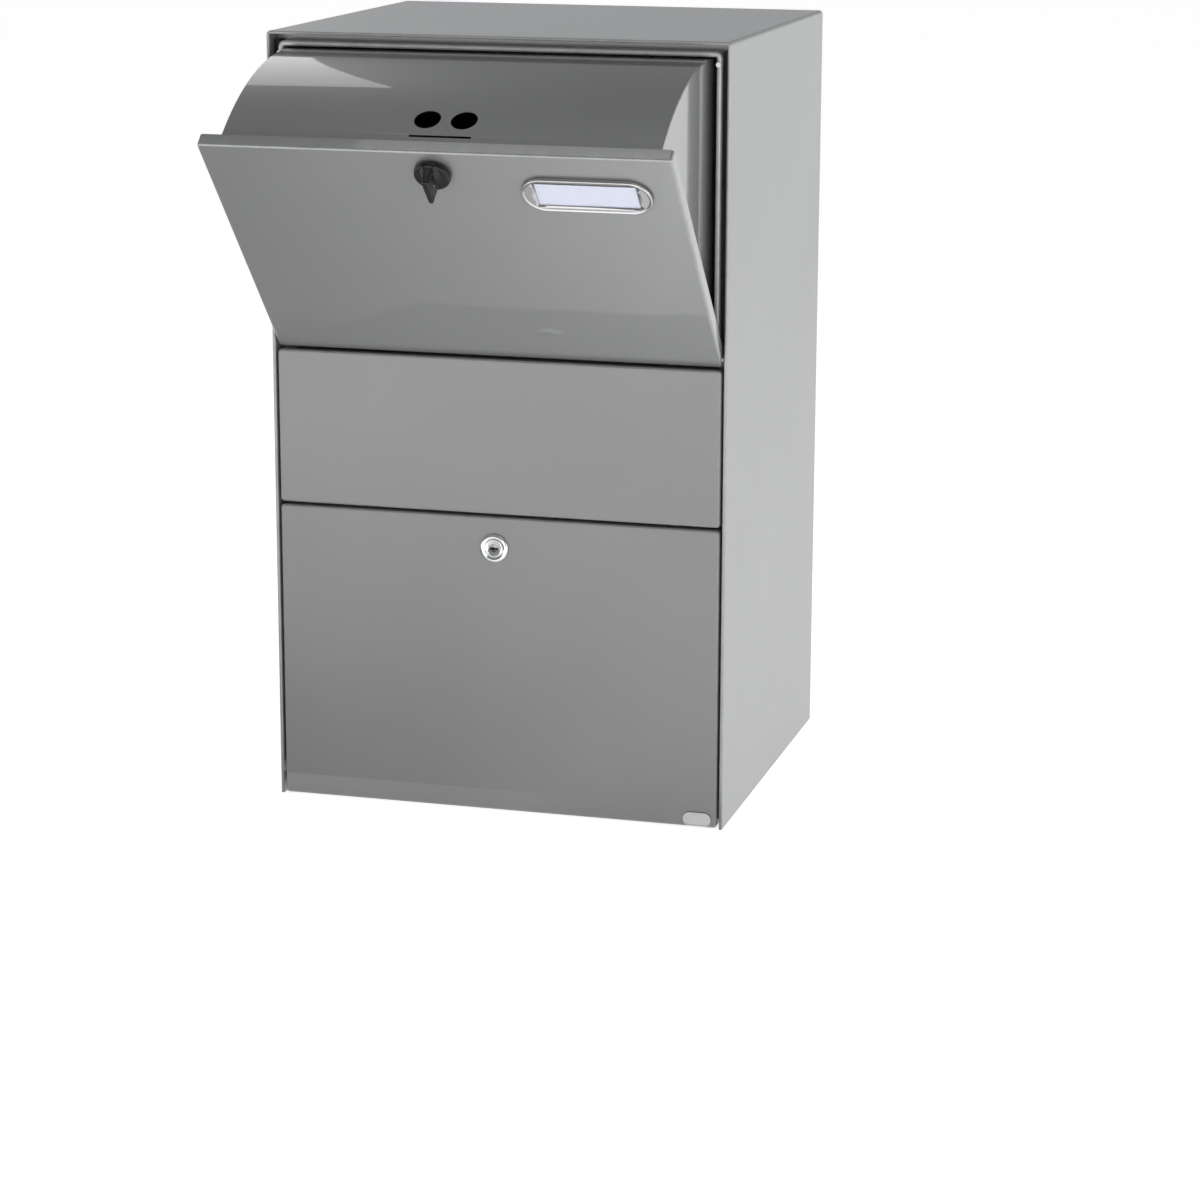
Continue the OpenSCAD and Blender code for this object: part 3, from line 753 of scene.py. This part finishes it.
def make_badge():
    """Blank oval plate with a fine raised border."""
    low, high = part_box("blank_badge")
    tall = high.y - low.y
    profile = [
        (0.0, 0.0), (0.0, tall - 0.3 * MM), (0.3 * MM, tall), (0.9 * MM, tall),
        (1.2 * MM, tall - 0.35 * MM), (4.0 * MM, tall - 0.35 * MM),
    ]
    bm = bmesh.new()
    made = add_loops(bm, stadium_dome(low, high, profile))
    bm.faces.new(list(reversed(made[0])))
    bm.faces.new(made[-1])
    finish_mesh(bm, "oval_badge", NO_TURN, "badge_metal", "door", "blank_badge")


# ---- lock ----

def make_lock():
    """Chrome flange with a rolled edge and a sunk ring, and the barrel behind it."""
    low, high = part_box("lock_body")
    c = LOCK_CENTRE
    radius = (high.x - low.x) / 2
    bore = LOCK_BORE
    front = low.y - c.y
    barrel, seat, back = 11 * MM, -0.05 * MM, high.y - c.y
    profile = [
        (bore, back), (bore, front + 1.2 * MM), (bore + 0.3 * MM, front + 0.9 * MM),
        (bore + 0.9 * MM, front + 0.8 * MM), (bore + 1.5 * MM, front + 0.15 * MM),
        (bore + 2.2 * MM, front), (radius - 1.9 * MM, front + 0.25 * MM),
        (radius - 0.9 * MM, front + 0.9 * MM), (radius - 0.25 * MM, front + 1.9 * MM),
        (radius, front + 2.6 * MM), (radius, seat), (barrel, seat), (barrel, back), (bore, back),
    ]
    bm = bmesh.new()
    lathe(bm, profile, c)
    finish_mesh(bm, "lock_flange", NO_TURN, "lock_chrome", "door", "lock_body")


def make_plug():
    """Turned plug with a sunk face and a level keyway."""
    low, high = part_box("lock_plug")
    c = LOCK_CENTRE
    radius = (high.x - low.x) / 2
    front, back = low.y - c.y, high.y - c.y
    profile = [
        (0.0, back), (radius, back), (radius, front + 0.5 * MM), (radius - 0.4 * MM, front + 0.1 * MM),
        (radius - 1.0 * MM, front), (radius - 1.5 * MM, front + 0.3 * MM),
        (radius - 1.8 * MM, front + 1.0 * MM), (0.0, front + 1.0 * MM),
    ]
    bm = bmesh.new()
    lathe(bm, profile, c)
    bmesh.ops.remove_doubles(bm, verts=bm.verts, dist=MERGE)
    bmesh.ops.recalc_face_normals(bm, faces=bm.faces)
    key = bmesh.new()
    half_w, half_h = 4.25 * MM, 1.0 * MM
    box_mesh(key, c + Vector((-half_w, front - MM, -half_h)), c + Vector((half_w, 8 * MM, half_h)))
    bm = combined(bm, key, "DIFFERENCE")
    finish_mesh(bm, "keyed_plug", NO_TURN, "lock_chrome", "lock_barrel", "lock_plug")


# ---- the CAD nodes that stay ----

THIN_EDGE = {"card_window": 0.15, "name_card": 0.05, "drum_washers": 0.2, "door_washers": 0.2}
SMALL_EDGE = 0.35
HOLED_PLATES = ("floor_panel", "back_panel", "front_frame")
HOLED_WEIGHT = 100
WELD_REACH = 1e-5


def finish_cad_nodes():
    """Every CAD node gets its slot's material, a weld, a small edge rounding and smooth shading."""
    slot_of = {part["node"]: part["material_slot"] for part in frame["record"]["subparts"]}
    for name, node in NODES.items():
        material = FINISH[slot_of[name]]
        if not node.material_slots:
            node.data.materials.append(material)
        for holder in node.material_slots:
            holder.material = material
        if node.hide_render:
            continue
        weld = node.modifiers.new("weld", "WELD")
        weld.merge_threshold = WELD_REACH
        flatness = HOLED_WEIGHT if name in HOLED_PLATES else FACE_WEIGHT
        smooth_shading(node, THIN_EDGE.get(name, SMALL_EDGE) * MM, flatness)


# ---- studio ----

def area_light(name, place, target, size, radiance, lean=0.0):
    """A softbox of size metres, with its light given as radiance. lean turns it in its own plane."""
    data = bpy.data.lights.new(name, "AREA")
    data.shape = "RECTANGLE"
    data.size, data.size_y = size
    data.energy = radiance * math.pi * size[0] * size[1]
    lamp = bpy.data.objects.new(name, data)
    aim = (Vector(target) - Vector(place)).to_track_quat("-Z", "Y").to_matrix()
    lamp.matrix_world = Matrix.Translation(place) @ (aim @ Matrix.Rotation(lean, 3, "Z")).to_4x4()
    lamp.visible_camera = False
    bpy.context.scene.collection.objects.link(lamp)


def make_floor():
    """A pale floor that glows like a light table, more strongly in front."""
    half = 15.0
    bm = bmesh.new()
    corners = [bm.verts.new((x * half, y * half, 0.0)) for x, y in ((-1, -1), (1, -1), (1, 1), (-1, 1))]
    bm.faces.new(corners)
    floor = plain_object(bm, "studio_floor")
    n = Nodes("floor_paint")
    speck = n.ramp(n.noise(30, 3.0), 0.2, 0.8)
    n.set(Base_Color=n.mix(speck, (0.87, 0.87, 0.87, 1), (0.9, 0.9, 0.9, 1)), Roughness=0.7)
    place = n.tree.nodes.new("ShaderNodeSeparateXYZ")
    n.tree.links.new(n.add("TexCoord").outputs["Object"], place.inputs[0])
    pool = n.ramp(n.times(place.outputs["Y"], -1.0), 0.2, 1.8)
    n.set(Emission_Color=(1, 1, 1, 1), Emission_Strength=n.between(pool, 0.72, 2.0))
    floor.data.materials.append(n.material)


def make_flag():
    """A dark card just above the floor, in front and to the left, seen only in reflections.

    It glows more and more towards its rim, so that no edge of it shows in the coat.
    """
    bm = bmesh.new()
    height, left, right, front, back = 0.02, -1.6, 0.05, -0.7, 0.1
    outline = ((left, front), (right, front), (right, back), (left, back))
    bm.faces.new([bm.verts.new((x, y, height)) for x, y in outline])
    flag = plain_object(bm, "studio_flag")
    n = Nodes("flag_cloth")
    place = n.tree.nodes.new("ShaderNodeSeparateXYZ")
    n.tree.links.new(n.add("TexCoord").outputs["Object"], place.inputs[0])
    fade = n.ramp(place.outputs["X"], -0.45, 0.1)
    for axis, dark, bright in (("X", -0.9, -1.5), ("Y", -0.2, 0.1), ("Y", -0.4, -0.7)):
        fade = n.highest(fade, n.ramp(place.outputs[axis], dark, bright))
    n.set(Base_Color=(0.01, 0.01, 0.01, 1), Roughness=0.9, Emission_Color=(1, 1, 1, 1))
    n.set(Emission_Strength=n.between(fade, 0.05, 1.15))
    flag.data.materials.append(n.material)
    flag.visible_camera = False
    flag.visible_diffuse = False
    flag.visible_shadow = False
    flag.visible_transmission = False


def make_world():
    """Bright at the horizon, darker overhead."""
    world = bpy.data.worlds.new("studio")
    world.use_nodes = True
    tree = world.node_tree
    direction = tree.nodes.new("ShaderNodeTexCoord")
    split = tree.nodes.new("ShaderNodeSeparateXYZ")
    fade = tree.nodes.new("ShaderNodeMapRange")
    fade.interpolation_type = "SMOOTHSTEP"
    background = tree.nodes["Background"]
    tree.links.new(direction.outputs["Generated"], split.inputs[0])
    tree.links.new(split.outputs["Z"], fade.inputs["Value"])
    fade.inputs["From Min"].default_value = 0.02
    fade.inputs["From Max"].default_value = 0.35
    fade.inputs["To Min"].default_value = 1.1
    fade.inputs["To Max"].default_value = 0.26
    tree.links.new(fade.outputs[0], background.inputs["Strength"])
    background.inputs["Color"].default_value = (0.97, 0.98, 1.0, 1)
    bpy.context.scene.world = world


CAMERA_PLACE = (0.8829, -3.0546, 0.9445)
CAMERA_YAW, CAMERA_PITCH, CAMERA_ROLL = 0.268, -0.244, 0.003
LENS = 103.05
SENSOR = 36


def make_camera():
    """A camera at the viewing angle of the open mailbox, without lens shift."""
    data = bpy.data.cameras.new("camera")
    data.lens = LENS
    data.sensor_width = SENSOR
    data.clip_start, data.clip_end = 0.05, 60
    camera = bpy.data.objects.new("camera", data)
    yaw, pitch, roll = CAMERA_YAW, CAMERA_PITCH, CAMERA_ROLL
    ahead = Vector((-math.sin(yaw) * math.cos(pitch), math.cos(yaw) * math.cos(pitch), math.sin(pitch)))
    right = Vector((math.cos(yaw), math.sin(yaw), 0))
    up = right.cross(ahead)
    rolled_right = math.cos(roll) * right + math.sin(roll) * up
    rolled_up = math.cos(roll) * up - math.sin(roll) * right
    turn = Matrix((rolled_right, rolled_up, -ahead)).transposed().to_4x4()
    camera.matrix_world = Matrix.Translation(CAMERA_PLACE) @ turn
    bpy.context.scene.collection.objects.link(camera)
    bpy.context.scene.camera = camera


def make_studio():
    """Floor, card, sky and four softboxes."""
    make_floor()
    make_flag()
    make_world()
    area_light("front_key", (1.5, -2.6, 1.3), (0, -0.3, 0.3), (1.6, 1.2), 1.6)
    area_light("side_right", (2.8, 0.5, 0.9), (0.2, 0, 0.4), (1.8, 1.6), 3.2)
    area_light("overhead", (0, -0.9, 3.2), (0, -0.3, 0.5), (2.0, 1.4), 1.0)
    area_light(
        "window_left", (-1.42, 1.6, 2.14), (-0.2, -0.3, 0.65), (0.85, 1.5), 1.5,
        lean=math.radians(-14),
    )
    bpy.context.scene.view_settings.view_transform = "Standard"


# ---- the whole ----

make_camera()
make_studio()
make_housing()
make_rim("drum_rim_trim", "drum_rim", RIM_INNER_WIDTH, closed=False)
make_rim("door_rim_trim", "door_rim", RIM_INNER_WIDTH, closed=True)
make_fascia()
hinged_pan(
    "flap_skin", "flap_pan", DRUM, PAN_LIP, "drum_hinge_brackets",
    KNOB_HOLE, KNOB_CENTRE, "flap_paint", "drum",
)
hinged_pan(
    "door_skin", "door_pan", NO_TURN, PAN_LIP, "door_hinge_brackets",
    LOCK_HOLE, LOCK_CENTRE, "panel_paint", "door",
)
make_hood()
make_knob()
make_nameplate()
make_badge()
make_lock()
make_plug()
finish_cad_nodes()
